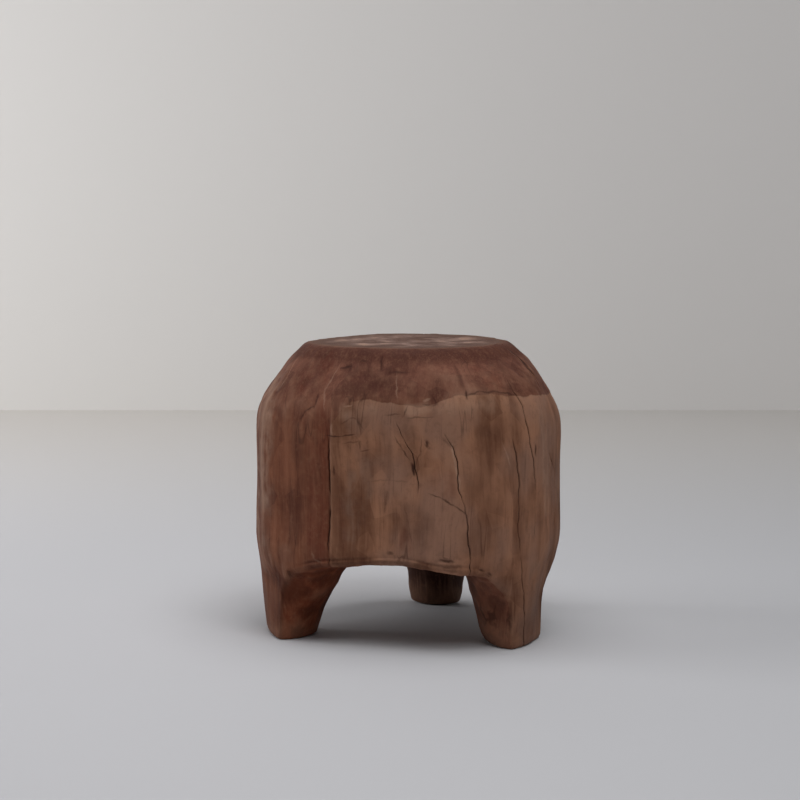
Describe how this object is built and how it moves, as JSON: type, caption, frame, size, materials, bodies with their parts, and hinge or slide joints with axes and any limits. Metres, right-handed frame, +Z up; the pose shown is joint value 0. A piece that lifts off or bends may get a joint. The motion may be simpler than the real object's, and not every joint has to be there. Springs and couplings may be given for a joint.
{
  "type": "stool",
  "caption": "Solid carved wooden stool hewn from a log, with a flat round end-grain seat, sloping hewn shoulders, upright sides and stubby legs left under a chopped-out underside.",
  "frame": {"origin": "on the floor under the middle of the stool's box", "axes": "+Z up from the floor to the seat, -Y towards the open front between two legs, the third leg at the back on +Y"},
  "size_m": [0.4234, 0.3964, 0.4],
  "materials": {
    "timber": "worn and weathered, dull sheen"
  },
  "bodies": {
    "root": {"carved_log": "timber"}
  },
  "joints": []
}
